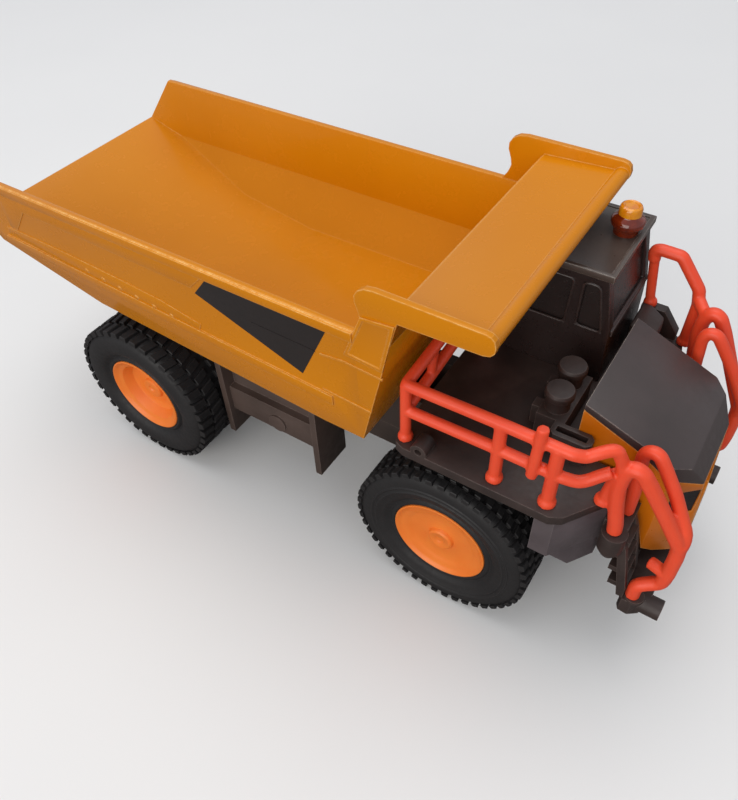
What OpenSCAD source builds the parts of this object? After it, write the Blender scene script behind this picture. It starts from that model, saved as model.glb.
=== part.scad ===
// Toy rigid haul truck with a tipping dump body.
// Frame: +X forward, +Y left, +Z up, origin on the ground under the middle of the truck. Millimetres.

/* [Wheels] */
// Place of the front axle ahead of the middle
front_axle_x = 54.5; // [53:0.5:56]
// Place of the rear axle behind the middle
rear_axle_x = -59.5; // [-61:0.5:-58]
// Tyre radius over the lugs
tyre_r = 27.2; // [26.5:0.1:27.4]
// Half width over the front tyres
front_half_w = 39.3; // [38:0.1:40]
// Half width over the rear tyres
rear_half_w = 41.4; // [40:0.1:42]
// Width of a front tyre
front_tyre_w = 14; // [12:0.5:15]
// Width of a rear twin tyre
rear_tyre_w = 25.6; // [24:0.2:26]
// Radius of the rims at the tyre's bead
rim_r = 14.4; // [13.5:0.1:15]
// Radius of the steel axle rods
axle_r = 1.5; // [1.2:0.1:1.8]
// Lugs around a front tyre
front_lugs = 28; // [20:1:30]
// Lugs around each row of a rear tyre
rear_lugs = 18; // [14:1:20]

/* [Dump body] */
// Place of the tail of the chute
tail_x = -114.4; // [-115:0.1:-113]
// Half width over the top rails
body_half_w = 39.3; // [38:0.1:40]
// Height of the top rails
rail_z = 96.9; // [94:0.1:98]
// Height of the canopy's side plates
canopy_z = 110.9; // [109:0.1:112]
// Wall thickness of the casting
body_wall = 1.6; // [1.2:0.1:2]
// Outward lean of the side walls in degrees
wall_lean = 2; // [1:0.5:3]
// Place of the tipping hinge along X
hinge_x = -84; // [-88:1:-82]
// Height of the tipping hinge
hinge_z = 45; // [44:0.5:46]

/* [Deck and cab] */
// How far forward the bumper's two lugs reach
nose_x = 114.4; // [113:0.1:115]
// How far the middle of the nose and the stairs lies to the left
nose_y = 1.7; // [0:0.1:2]
// Half width of the deck
deck_half_w = 38.8; // [38:0.1:39.5]
// Height of the deck's top
deck_z = 63; // [62:0.1:63.5]
// Right wall of the cab
cab_y0 = 9; // [8:0.1:10]
// Left wall of the cab
cab_y1 = 39.2; // [38.5:0.1:39.5]
// Rear wall of the cab
cab_x0 = 47; // [46:0.5:49]
// Height of the cab's roof
cab_z = 97.6; // [96:0.1:98]
// Height of the right handrail
handrail_z = 83.3; // [82:0.1:85]
// Radius of the handrail posts
post_r = 1.6; // [1.3:0.1:1.8]

/* [Hidden] */
$fn = 64;

axle_z = tyre_r;
running_gap = 0.05;
carcass_r = tyre_r - 1.1;
lug_inset = 1.4;
tyre_facets = 44;
hinge_r = 1.5;

// Frame rails: inner and outer half width, bottom and top
rail_y0 = 7;
rail_y1 = 11.5;
frame_z0 = 33;
frame_z1 = 49;
frame_x1 = 97;
tank_y0 = 16;
stair_z = 55;
bumper_z0 = 23;
bumper_z1 = 28.6;
// Height of the ring on the bumper round the handrail's foot
socket_h = 0.8;
// Half width of the nose at its rear, and the gap between it and the deck
nose_half_w = 18.2;
nose_gap = 0.7;
// Top of the plinth under the air cleaners
plinth_z = 70.6;
// Top of the wedge at the deck's left edge, in front of the cab
wedge_z = 71.6;

// Colours
body_yellow = [0.93, 0.66, 0.08];
rim_orange = [0.98, 0.55, 0.10];
rail_red = [0.95, 0.27, 0.13];
plastic_dark = [0.14, 0.12, 0.12];
plastic_grey = [0.22, 0.21, 0.21];
rubber_black = [0.06, 0.06, 0.06];
amber = [0.95, 0.55, 0.05, 0.7];
steel = [0.7, 0.7, 0.72];

// ---------- helpers ----------

// An outline in X and Z, made as thick as y1 - y0 along Y.
module slab_xz(points, y0, y1) {
    translate([0, y1, 0]) rotate([90, 0, 0]) linear_extrude(y1 - y0) polygon(points);
}

// A box from its two corners.
module block(a, b) {
    translate(a) cube(b - a);
}

// A cylinder along Y, centred at x, z.
module rod_y(x, z, r, y0, y1) {
    translate([x, y1, z]) rotate([90, 0, 0]) cylinder(h = y1 - y0, r = r);
}

// Unit vector, and a vector carried round the corner from direction d to direction e
function unit(v) = v / norm(v);
function carried(v, d, e) = v - (e * v) / (1 + d * e) * (d + e);
// Direction of each stretch of a route, and a normal for each, carried from the one before
function headings(route) = [for (i = [0:len(route) - 2]) unit(route[i + 1] - route[i])];
function normals(dirs, i = 0, n = undef) =
    let (here = i == 0 ? unit(cross(dirs[0], [0.31, 0.92, 0.23])) : carried(n, dirs[i - 1], dirs[i]))
    i == len(dirs) - 1 ? [here] : concat([here], normals(dirs, i + 1, here));

// A many-sided bar bent along a route, with mitred corners.
module bent_bar(route, r, sides = 8) {
    dirs = headings(route);
    ups = normals(dirs);
    last = len(route) - 1;
    rings = [for (i = [0:last])
        let (k = min(i, last - 1), d = dirs[k], a = ups[k], b = cross(d, a),
            t = i == 0 || i == last ? d : unit(dirs[i - 1] + dirs[i]))
        for (j = [0:sides - 1])
            let (o = r * (cos(j * 360 / sides) * a + sin(j * 360 / sides) * b))
            route[i] + o - (o * t) / (d * t) * d];
    polyhedron(rings, concat(
        [[for (j = [0:sides - 1]) j]],
        [for (i = [0:last - 1], j = [0:sides - 1])
            let (k = (j + 1) % sides) [i * sides + j, (i + 1) * sides + j, (i + 1) * sides + k, i * sides + k]],
        [[for (j = [sides - 1:-1:0]) last * sides + j]]
    ));
}

// A straight bar between two points.
module bar(p, q, r) {
    bent_bar([p, q], r);
}

// The left twin of a piece drawn on the right side.
module left_twin() {
    mirror([0, 1, 0]) children();
}

// ---------- wheels ----------

// Section of a tyre's carcass: [radius, distance in from the outer face]
function tyre_section(w) = [
    [rim_r / cos(180 / tyre_facets), 1.6], [rim_r + 4.5, 0], [carcass_r - 0.8, 0.9],
    [carcass_r - 0.8, w - 0.9], [rim_r + 4.5, w], [rim_r / cos(180 / tyre_facets), w - 1.6],
];

// A ring with flat facets round the Z axis, from its section in radius and height.
module faceted_ring(section, facets) {
    m = len(section);
    polyhedron(
        [for (i = [0:facets - 1], p = section) [p.x * cos(i * 360 / facets), p.x * sin(i * 360 / facets), p.y]],
        [for (i = [0:facets - 1], j = [0:m - 1])
            let (k = (i + 1) % facets, l = (j + 1) % m) [i * m + j, i * m + l, k * m + l, k * m + j]]
    );
}

// One row of lugs round the tread: count, start and width along the axle, turn in pitches.
module lug_row(count, y, w, turn) {
    step = 360 / count;
    translate([0, 0, y]) linear_extrude(w) difference() {
        polygon([
            for (i = [0:count - 1], c = [[carcass_r, 0], [tyre_r, 0.03], [tyre_r, 0.55], [carcass_r, 0.58]])
                c[0] * [cos((i + c[1] + turn) * step), sin((i + c[1] + turn) * step)]
        ]);
        circle(r = rim_r + 4);
    }
}

// A tyre with its outer face at Z = 0 and its width along +Z, before it is laid on its axle.
// Twin tyres have a groove between their two rows of lugs; a single one, where groove is 0, has one row.
module tyre_blank(w, groove, count) {
    row = groove > 0 ? (w - groove) / 2 - lug_inset : w - 2 * lug_inset;
    faceted_ring(tyre_section(w), tyre_facets);
    lug_row(count, lug_inset, row, 0.25);
    if (groove > 0) lug_row(count, lug_inset + row + groove, row, 0.75);
}

// Sets a wheel piece on the right end of an axle, its outer face at -half_w.
module on_right(x, half_w) {
    translate([x, -half_w, axle_z]) rotate([-90, 0, 0]) children();
}

module front_tyre() {
    color(rubber_black) on_right(front_axle_x, front_half_w) tyre_blank(front_tyre_w, 0, front_lugs);
}

module rear_tyre() {
    color(rubber_black) on_right(rear_axle_x, rear_half_w) tyre_blank(rear_tyre_w, 2, rear_lugs);
}

// A dished rim: width, depth of the dish and its floor radius.
module rim_blank(w, dish, floor_r) {
    difference() {
        rotate_extrude()
            polygon([
                [axle_r, dish], [floor_r, dish], [floor_r + 1.5, 2.6], [rim_r - 1.1, 2.0],
                [rim_r - 0.9, 1.6], [rim_r, 1.6], [rim_r, w - 2], [rim_r - 2, w - 2],
                [rim_r - 2, dish + 2.4], [5, dish + 2.4], [5, w - 1], [axle_r, w - 1],
            ]);
        translate([0, 0, -1]) cylinder(h = w + 2, r = axle_r);
    }
    difference() {
        translate([0, 0, dish - 1.4]) cylinder(h = 1.8, r1 = 3.4, r2 = 4.2);
        translate([0, 0, dish - 2]) cylinder(h = 4, r = axle_r);
    }
}

module front_rim() {
    color(rim_orange) on_right(front_axle_x, front_half_w) rim_blank(front_tyre_w, 3.4, 10);
}

module rear_rim() {
    color(rim_orange) on_right(rear_axle_x, rear_half_w) rim_blank(rear_tyre_w, 6.5, 9);
}

module axle(x, half_w, dish) {
    color(steel) rod_y(x, axle_z, axle_r, -half_w + dish, half_w - dish);
}

// ---------- chassis ----------

module chassis_frame() {
    color(plastic_dark) difference() {
        union() {
            for (s = [-1, 1])
                slab_xz([
                    [hinge_x - 5, hinge_z - 4], [hinge_x - 5, hinge_z + 3], [-74, frame_z1], [frame_x1, frame_z1],
                    [frame_x1, 28], [90, 28], [80, frame_z0], [-74, frame_z0],
                ], s > 0 ? rail_y0 : -rail_y1, s > 0 ? rail_y1 : -rail_y0);
            for (x = [-88, -30, 0, 34, 84])
                block([x, -rail_y0 - 1, frame_z0 + 3], [x + 5, rail_y0 + 1, frame_z1 - 6]);
        }
        rod_y(hinge_x, hinge_z, hinge_r, -20, 20);
    }
}

module belly_pan() {
    color(plastic_dark) difference() {
        block([-40, -rail_y1, 24], [38, rail_y1, frame_z0]);
        block([-38, 2 - rail_y1, 26], [36, rail_y1 - 2, frame_z0 + 1]);
    }
}

module axle_block(x, half_w, len, z0, z1) {
    difference() {
        block([x - len / 2, -half_w, z0], [x + len / 2, half_w, z1]);
        rod_y(x, axle_z, axle_r + running_gap, -half_w - 1, half_w + 1);
    }
}

module front_axle_beam() {
    color(plastic_dark) axle_block(front_axle_x, 19, 12, 20, frame_z0);
}

module rear_axle_housing() {
    color(plastic_dark) axle_block(rear_axle_x, 13, 16, 18, frame_z0);
}

// Right tank panel with its end fins
module side_tank() {
    x0 = -29.2;
    x1 = 5;
    fin = 2.2;
    color(plastic_dark) {
        block([x0, -28, 27], [x1, -rail_y1, 37.5]);
        block([x0, -25.5, 37.5], [x1, -rail_y1, 48]);
        for (x = [x0 - fin, x1]) block([x, -30, 17], [x + fin, -tank_y0, 55]);
        rod_y(-10, 31, 3.2, -28.8, -28);
    }
}

// Outline of a wing of the deck, seen from above, with its front corner moved forward by d
// and its edge beside the nose at half width w
function deck_wing(d, w) = [
    [39.5, 0], [39.5, -35.3], [40.5, -37.8], [43, -deck_half_w], [83 + d, -deck_half_w],
    [86 + d, -37.2], [94, -25.5], [97, -w], [80, -w], [80, 0],
];

// Right or left edge of the deck beside the nose, as a half width: side is 0 or 1
function inner_edge(side) = nose_half_w + nose_gap + (side == 0 ? -nose_y : nose_y);

module deck() {
    color(plastic_dark) {
        for (s = [0, 1]) mirror([0, s, 0])
            translate([0, 0, deck_z - 3]) linear_extrude(3) polygon(deck_wing(5 * s, inner_edge(s)));
        difference() {
            rod_y(47.6, deck_z + 1, 2.3, -deck_half_w, -deck_half_w + 5);
            rod_y(47.6, deck_z + 1, 1, -deck_half_w - 1, -deck_half_w + 3);
        }
        slab_xz([
            [77.3, deck_z], [77.3, wedge_z], [84.1, wedge_z], [88.8, 65.5], [88.8, deck_z],
        ], 35.7, deck_half_w);
        block([41, -10, frame_z1], [48, 10, deck_z - 3]);
        block([66, -14, frame_z1], [80, 14, deck_z - 3]);
    }
}

// Lamp box under the deck's right front corner, with the sloping shield below it, from half width w outwards
module corner_bracket(w) {
    color(plastic_grey) {
        translate([0, 0, 46]) linear_extrude(deck_z - 3 - 46)
            polygon([[79.5, -38], [84.5, -38], [93.5, -25.5], [93.5, -w], [79.5, -w]]);
        hull() {
            translate([0, 0, 45.9]) linear_extrude(0.1)
                polygon([[80.5, -37], [84.5, -37], [92.5, -25.5], [92.5, -w], [80.5, -w]]);
            translate([0, 0, 38]) linear_extrude(0.1)
                polygon([[87, -32], [89, -32], [93.4, -25.5], [93.4, -w], [87, -w]]);
        }
    }
}

// Right stair from the bumper to the deck's front corner: a round socket, a landing, treads and side plates
module stair() {
    rise = 6;
    tread = 5;
    plate = 1.6;
    color(plastic_dark) {
        translate([97, -28.7, 0]) rotate_extrude()
            polygon([[0, 46.2], [2, 46.2], [3.2, 48.6], [3.2, stair_z], [0, stair_z]]);
        block([93.6, -26.4, 52.4], [99.6, -17.2, stair_z]);
        for (i = [0:3]) let (x = 101.2 + 1.05 * i, z = 50.4 - rise * i)
            block([x - tread, -26.8, z - 1.8], [x, -20.4, z]);
        for (p = [[-28.4, bumper_z1 + socket_h], [-20.4, bumper_z1]])
            slab_xz([
                [94.5, 52.4], [99.6, 52.4], [101, 49], [101.9, 45], [104.3, 33], [104.3, p.y], [102.6, p.y],
                [99.6, 45], [97, 47.5], [94.5, 47.5],
            ], p.x, p.x + plate);
    }
}

// Right half of the bumper's outline, seen from above, from the nose's middle
bumper_plan = [[111, 0], [111, -24.6], [109.4, -28.4], [107, -30.2], [104.4, -30], [103.6, -28.6], [103.6, 0]];

module bumper() {
    lug_y = 26.2;
    color(plastic_dark) {
        translate([0, nose_y, 0]) for (s = [0, 1]) mirror([0, s, 0]) {
            translate([0, 0, bumper_z0]) linear_extrude(bumper_z1 - bumper_z0) polygon(bumper_plan);
            translate([106.9, -27.7, bumper_z1]) cylinder(h = socket_h, r = 2.6);
            translate([108, -lug_y, bumper_z0 + 2.8]) rotate([0, 90, 0]) cylinder(h = nose_x - 108, r = 2.9);
        }
        block([frame_x1, -rail_y1, 25], [103.6, rail_y1, bumper_z1]);
    }
}

// Right half of the nose seen from above, from its middle, and its side outlines
nose_half = [[80, -nose_half_w], [103.5, -17.7], [114, -7.9]];
hood_line = [[80, 79.6], [107, 68.55], [110.5, 62.6]];
cover_edge = [[110.7, 61.4], [103.5, 65], [94.3, 71], [80, 77.5]];
nose_under = [
    [80, 49.2], [98.6, 49.2], [101.4, 43], [103.4, 36], [106, 33.8], [110.4, 32.4], [112, 33.4], [112.7, 36.4],
];

// What stands on the nose's plan and within a side outline
module nose_blank(points) {
    intersection() {
        translate([0, nose_y, 30]) linear_extrude(60) polygon(concat(
            nose_half, [for (i = [len(nose_half) - 1:-1:0]) [nose_half[i].x, -nose_half[i].y]]));
        slab_xz(points, -25, 25);
    }
}

// The two lamp openings beside the nose's front, square to its slanted corners
module lamp_openings() {
    slant = atan2(nose_half[2].y - nose_half[1].y, nose_half[2].x - nose_half[1].x);
    for (s = [0, 1]) translate([0, nose_y, 0]) mirror([0, s, 0])
        translate(nose_half[1]) rotate([0, 0, slant]) block([2.4, -1, 50], [10.2, 1.8, 59.4]);
}

module nose_body() {
    color(body_yellow) difference() {
        nose_blank(concat(nose_under, cover_edge));
        block([107.5, nose_y - 9, 41], [115, nose_y + 9, 59.4]);
        lamp_openings();
    }
}

module hood_cover() {
    color(plastic_grey) nose_blank(concat(hood_line, cover_edge));
}

// The panel behind the nose's front opening with its bars
module grille() {
    color(plastic_dark) {
        block([107.5, nose_y - 9, 41], [109.4, nose_y + 9, 59.4]);
        for (z = [42.4:2.4:57]) block([109.4, nose_y - 9, z], [110.9, nose_y + 9, z + 1.1]);
    }
}

// ---------- cab ----------

// Side outline of the cab, drawn in by g on every side
function cab_side(g) = [
    [cab_x0 + g, deck_z + g], [76.5 - g, deck_z + g], [76 - g, 80], [73 - g, cab_z - 2 - g],
    [cab_x0 + g, cab_z - 2 - g],
];

// Window outlines in X and Z
rear_side_window = [[52, 79], [63.8, 79], [64.4, 93.4], [52, 93.4]];
front_side_window = [[66.8, 79.6], [73.8, 79.6], [71.2, 93.4], [67, 93.4]];

module cab_shell() {
    color(plastic_dark) difference() {
        slab_xz(cab_side(0), cab_y0, cab_y1);
        slab_xz(cab_side(1.6), cab_y0 + 1.6, cab_y1 - 1.6);
        for (outline = [rear_side_window, front_side_window]) slab_xz(outline, cab_y0 - 1, cab_y1 + 1);
        block([70, cab_y0 + 3.5, 80.5], [80, cab_y1 - 3.5, 93.4]);
        block([40, cab_y0 + 4.5, 80.5], [50, cab_y1 - 4.5, 92]);
    }
}

module cab_glazing() {
    color([0.1, 0.1, 0.12]) difference() {
        intersection() {
            slab_xz(cab_side(1.7), cab_y0 + 1.7, cab_y1 - 1.7);
            block([40, 0, 77.5], [90, 50, 95]);
        }
        slab_xz(cab_side(2.5), cab_y0 + 2.5, cab_y1 - 2.5);
    }
}

module cab_roof() {
    roof_x1 = 74.1;
    color(plastic_dark) {
        block([cab_x0 - 0.6, cab_y0 - 0.4, cab_z - 2], [roof_x1, cab_y1 + 0.3, cab_z - 0.6]);
        difference() {
            block([cab_x0 - 0.6, cab_y0 - 0.4, cab_z - 0.6], [roof_x1, cab_y1 + 0.3, cab_z]);
            block([cab_x0 + 0.8, cab_y0 + 1, cab_z - 0.6], [roof_x1 - 1.4, cab_y1 - 1.1, cab_z + 1]);
        }
    }
}

module beacon() {
    color(amber) translate([69.2, 29.4, cab_z - 0.6]) rotate_extrude()
        polygon([
            [0, 0], [3.2, 0], [3.4, 1.4], [4.4, 2.8], [4.4, 3.8],
            [3.6, 4.9], [2.9, 5.4], [2.8, 7.2], [2.3, 8], [0, 8],
        ]);
}

// Canister places: [x, y]
canisters = [[71.8, -2.4], [72.4, -11.9]];

// Two canisters on a plinth, and the slotted step between the plinth and the right handrail
module air_cleaners() {
    step = [[74, -20], [75.2, -21.2], [83.4, -21.2], [84.6, -20], [84.6, -17.9], [83.4, -16.7], [74, -16.7]];
    color(plastic_grey) {
        for (c = canisters) translate([c.x, c.y, plinth_z]) rotate_extrude()
            polygon([[0, 0], [3.2, 0], [3.2, 3.6], [3.8, 4], [3.8, 5.4], [3.4, 6.1], [0, 6.1]]);
        block([68.8, -16.7, deck_z], [76.4, 2, plinth_z]);
        difference() {
            translate([0, 0, deck_z]) linear_extrude(plinth_z - deck_z) polygon(step);
            block([75.2, -19.8, plinth_z - 4], [83.2, -18, plinth_z + 1]);
        }
        for (c = canisters) block([66.4, c.y - 1.6, deck_z], [68.8, c.y + 1.6, plinth_z - 1.4]);
    }
}

module deck_locker() {
    color(plastic_grey) translate([0, 0, deck_z]) linear_extrude(10.4)
        polygon([[77.8, 23.6], [85.3, 23.6], [85.4, 28], [84.9, 31.4], [80.5, 34.9], [77.8, 34.9]]);
}

// ---------- handrails ----------

rail_y = -35.2;
rail_r = 1.5;
mid_drop = 9.2;
// Posts along the deck's right edge: X of each
post_x = [41.9, 67.1, 80.9];
// Inner end of the rails behind the deck
inner_post_y = 6;

// A post from foot to top, wider at its foot.
module post(foot, top, r = post_r) {
    bent_bar([foot, foot + [0, 0, 1.6], top], r);
    bar(foot, foot + [0, 0, 1.6], r + 0.5);
}

// The two bars that arch down over the right stair and end in one foot on the bumper
module stair_rail() {
    knee = [111.5, -24.8, 54.6];
    bent_bar([
        [96.7, -28.6, stair_z], [96.7, -28.6, stair_z + 1.6], [95.2, -28.6, 64], [94.3, -28.7, 71.2],
        [94.5, -28.7, 76.2], [95.8, -28.6, 78.8], [98.1, -28.5, 78.4], [100.6, -27.9, 74.8], knee,
    ], 1.9);
    bent_bar([
        [97.5, -21.3, stair_z], [97.5, -21.3, 64], [96.3, -21.3, 75.9], [97.4, -21.3, 78.2],
        [99.5, -21.4, 78], [103.7, -21.9, 72.3], knee,
    ], 1.65);
    bent_bar([[110.6, -25.1, 56.6], knee, [111.7, -24.8, 43], [111.1, -24.9, 37.6], [108.6, -25.5, 35.8],
        [106.3, -26.2, 34.6], [106.3, -26.2, bumper_z1 + socket_h]], 1.7);
    bar([110.8, -24.9, 43], [106.9, -23.4, 41.8], 1.45);
}

// The right handrail: two rails round the deck's edge, their posts, and the stair's rail
module handrail_right() {
    color(rail_red) {
        for (drop = [0, mid_drop]) let (z = handrail_z - drop)
            bent_bar([
                [post_x[0], inner_post_y, drop > 0 ? z + 4.4 : z + 2.7], [post_x[0], rail_y, z - 0.8], [84, rail_y, z], [86.6, -33.7, z - 0.8],
                [90.7, -30.5, z + (drop > 0 ? 1 : 0.4)], [93.8, -28.9, drop > 0 ? 74.5 : 80],
            ], rail_r);
        for (x = post_x) post([x, rail_y, deck_z], [x, rail_y, handrail_z - 0.4]);
        post([post_x[0], inner_post_y, deck_z], [post_x[0], inner_post_y, handrail_z + 2.7]);
        post([91.9, -27.9, deck_z], [93, -28.6, 76]);
        bar([post_x[0], -22, handrail_z - mid_drop], [post_x[0], -21.6, handrail_z], rail_r);
        bar([76.3, rail_y - 1, 70.8], [76.7, rail_y - 1, handrail_z + 4.6], rail_r);
        stair_rail();
    }
}

// The left handrail: one rail before the cab, its two posts, and the stair's rail
module handrail_left() {
    color(rail_red) left_twin() {
        bent_bar([
            [79.2, -37.3, wedge_z + 1], [78.6, -37.3, 75], [76.9, -37.2, 87.4], [78.2, -37.2, 89.3],
            [83.9, -37.2, 89.7], [90.8, -36.4, 81.4], [91.5, -36.3, 73], [91.4, -36.4, deck_z + 2],
        ], post_r);
        for (p = [[79.2, -37.3, wedge_z], [91.4, -36.4, deck_z]]) post(p, p + [0, 0, 3]);
        translate([0, -2 * nose_y, 0]) stair_rail();
        bent_bar([[91, -36, 79.4], [94.6, -32.2, 77.5]], post_r);
    }
}

module hinge_pin() {
    color(steel) rod_y(hinge_x, hinge_z, hinge_r, -15.6, 15.6);
}

// ---------- dump body ----------

// Side outline in X and Z, from the front bottom corner round by the tail
side_wall = [
    [30.4, 57.2], [-25.9, 60.7], [-67, 63.3], [-108.7, 72.8], [tail_x, 79.8], [-100.7, rail_z], [40.1, rail_z],
];
// Top of the floor: kink between the level part and the chute, and the tail
floor_z = 64.2;
floor_kink = [-64, 67];
floor_tail = [tail_x, 81.2];
floor_t = 1.8;
floor_slope = (floor_tail.y - floor_kink.y) / (floor_kink.x - floor_tail.x);
// Half widths of the walls' foot, of the floor and of the chamfer's top
foot_half_w = body_half_w - (rail_z - 58) * tan(wall_lean);
floor_half_w = 27;
chamfer_z = 77;
chamfer_half_w = body_half_w - body_wall - (rail_z - chamfer_z) * tan(wall_lean);
// Slope of the front wall
front_lean = 10.8 / 45.5;

// Places a piece drawn in X and Z on the outer face of the right wall or, for side = 1, the left wall.
module on_wall(side) {
    mirror([0, side, 0])
        translate([0, -body_half_w, rail_z]) rotate([wall_lean, 0, 0]) translate([0, 0, -rail_z]) children();
}

// A section in Y and Z, made as long as x1 - x0 along X.
module slab_yz(points, x0, x1) {
    translate([x0, 0, 0]) rotate([90, 0, 90]) linear_extrude(x1 - x0) polygon(points);
}

// Both halves of a section from its right half.
function both_sides(half) = concat(half, [for (i = [len(half) - 1:-1:0]) [-half[i].x, half[i].y]]);

module body_tub() {
    color(body_yellow) {
        difference() {
            intersection() {
                slab_xz(side_wall, -50, 50);
                slab_yz(both_sides([[body_half_w, rail_z], [foot_half_w, 58]]), -120, 50);
            }
            intersection() {
                slab_xz([
                    [28.4, floor_z], [28.4 + (112 - floor_z) * front_lean, 112], [-125, 112],
                    [-125, floor_tail.y + (125 + floor_tail.x) * floor_slope],
                    floor_tail, floor_kink, [-34, floor_z],
                ], -50, 50);
                slab_yz(both_sides([
                    [body_half_w - body_wall + 15 * tan(wall_lean), rail_z + 15],
                    [chamfer_half_w, chamfer_z], [floor_half_w, floor_z - 0.2], [floor_half_w, 50],
                ]), -130, 50);
            }
            intersection() {
                slab_xz([
                    [28, 50], [28, floor_z - floor_t], [-34, floor_z - floor_t], floor_kink - [0, floor_t],
                    [-108, floor_kink.y - floor_t + (108 + floor_kink.x) * floor_slope], [-108, 50],
                ], -50, 50);
                slab_yz(both_sides([[floor_half_w - 1, 90], [floor_half_w - 1, 40]]), -130, 50);
            }
        }
        for (s = [0, 1]) on_wall(s) {
            block([-100, -0.7, rail_z - 3.2], [30, 0.8, rail_z - 0.3]);
            slab_xz([[-104, 76.5], [22, 70.5], [22, 67], [-101, 73]], -0.6, 0.8);
        }
    }
}

module body_canopy() {
    color(body_yellow) {
        for (s = [0, 1]) mirror([0, s, 0])
            slab_xz([
                [30, rail_z], [40.1, rail_z], [42, 104.3], [62.4, 105.1], [64, 105.6], [64.9, 106.7],
                [65.1, 108.2], [64.7, 109.8], [63.8, 110.6], [62.4, canopy_z], [36, canopy_z], [33.6, 110.5],
                [31.9, 109.4], [31, 107.8], [31, 106], [31.9, 103.6], [32.3, 101.6], [31.7, 99.4],
            ], -body_half_w, -body_half_w + body_wall);
        slab_xz([[38.4, rail_z], [40.1, rail_z], [42.4, 106.4], [40.7, 106.4]], -38, 38);
        slab_xz([[41.4, 105.4], [62, 106.4], [62, 108.2], [41.4, 107.2]], -38, 38);
        rod_y(62.8, 107.2, 2, -38, 38);
    }
}

// Two beams under the floor, outside the frame rails, that end in the hinge ears
module body_underframe() {
    top = floor_kink.y - floor_t;
    color(body_yellow) difference() {
        for (s = [-1, 1])
            slab_xz([
                [hinge_x - 4, hinge_z - 4], [hinge_x - 4, top + (floor_kink.x - hinge_x + 4) * floor_slope],
                [floor_kink.x, top], [-34, floor_z - floor_t], [20, floor_z - floor_t], [20, frame_z1 + 1.5],
                [-70, frame_z1 + 1.5], [hinge_x + 4, hinge_z - 4],
            ], s > 0 ? 12.1 : -15.1, s > 0 ? 15.1 : -12.1);
        rod_y(hinge_x, hinge_z, hinge_r + running_gap, -20, 20);
    }
}

chassis_frame();
belly_pan();
front_axle_beam();
rear_axle_housing();
side_tank();  // side_tank_right
left_twin() side_tank();  // side_tank_left
deck();
corner_bracket(inner_edge(0));  // corner_bracket_right
left_twin() corner_bracket(inner_edge(1));  // corner_bracket_left
stair();  // stair_right
left_twin() translate([0, -2 * nose_y, 0]) stair();  // stair_left
bumper();
nose_body();
hood_cover();
grille();
cab_shell();
cab_glazing();
cab_roof();
beacon();
air_cleaners();
deck_locker();
handrail_right();
handrail_left();
hinge_pin();
body_tub();
body_canopy();
body_underframe();
axle(front_axle_x, front_half_w, 3);  // front_axle
front_rim();  // front_rim_right
left_twin() front_rim();  // front_rim_left
front_tyre();  // front_tyre_right
left_twin() front_tyre();  // front_tyre_left
axle(rear_axle_x, rear_half_w, 6);  // rear_axle
rear_rim();  // rear_rim_right
left_twin() rear_rim();  // rear_rim_left
rear_tyre();  // rear_tyre_right
left_twin() rear_tyre();  // rear_tyre_left
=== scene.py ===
"""A toy haul truck with a tipping body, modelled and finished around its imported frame."""

import logging
import math
from dataclasses import dataclass
from enum import Enum
from typing import ClassVar, Sequence

import bpy
from mathutils import Matrix, Vector


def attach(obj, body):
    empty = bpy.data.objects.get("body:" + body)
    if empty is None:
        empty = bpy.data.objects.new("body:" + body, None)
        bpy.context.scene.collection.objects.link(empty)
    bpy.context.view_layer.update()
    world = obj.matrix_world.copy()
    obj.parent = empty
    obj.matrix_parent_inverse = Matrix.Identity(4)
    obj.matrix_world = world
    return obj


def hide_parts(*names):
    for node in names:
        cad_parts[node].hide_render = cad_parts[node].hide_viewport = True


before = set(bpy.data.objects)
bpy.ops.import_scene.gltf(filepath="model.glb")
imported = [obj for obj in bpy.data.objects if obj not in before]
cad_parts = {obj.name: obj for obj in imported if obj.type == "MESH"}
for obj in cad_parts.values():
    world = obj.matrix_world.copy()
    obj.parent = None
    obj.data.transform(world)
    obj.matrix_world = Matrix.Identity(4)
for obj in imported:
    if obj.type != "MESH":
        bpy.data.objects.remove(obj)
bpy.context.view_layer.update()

log = logging.getLogger("truck")

MM = 0.001
WELD = 0.000002  # metres within which corners are one
FULL_TURN = 2 * math.pi
FACING = 0.9  # cosine above which a face counts as facing some way
FLAT_ANGLE = 0.6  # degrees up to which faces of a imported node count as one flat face
SMOOTH_ANGLE = 32  # degrees up to which a piece is shaded smooth
NOISE_MIDDLE = (0.35, 0.65)  # the range that most of a noise pattern lies in

Piece = bpy.types.Object
Socket = bpy.types.NodeSocket
Colour = tuple[float, float, float]
Point = tuple[float, float, float]
Flat = tuple[float, float]
LugRow = tuple[float, float, float, float]


def at(x: float, y: float, z: float) -> Vector:
    """Give a point that is written in millimetres in metres."""
    return Vector((x, y, z)) * MM


class Side(Enum):
    """The two sides of the truck, as the sign of Y."""

    RIGHT = -1
    LEFT = 1

    @property
    def word(self) -> str:
        """Name the side as the nodes do."""
        return self.name.lower()


class Axis(Enum):
    """The axis that a flat outline faces."""

    Y = "y"
    Z = "z"

    def lay(self, u: float, v: float, w: float) -> Vector:
        """Place point (u, v) of an outline at w along this axis, all in millimetres."""
        return at(u, w, v) if self is Axis.Y else at(u, v, w)

    @property
    def unit(self) -> Vector:
        """Give the unit vector along this axis."""
        return Vector([float(self.value == letter) for letter in "xyz"])


# ---------- the bench: shaping one piece at a time ----------


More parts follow.
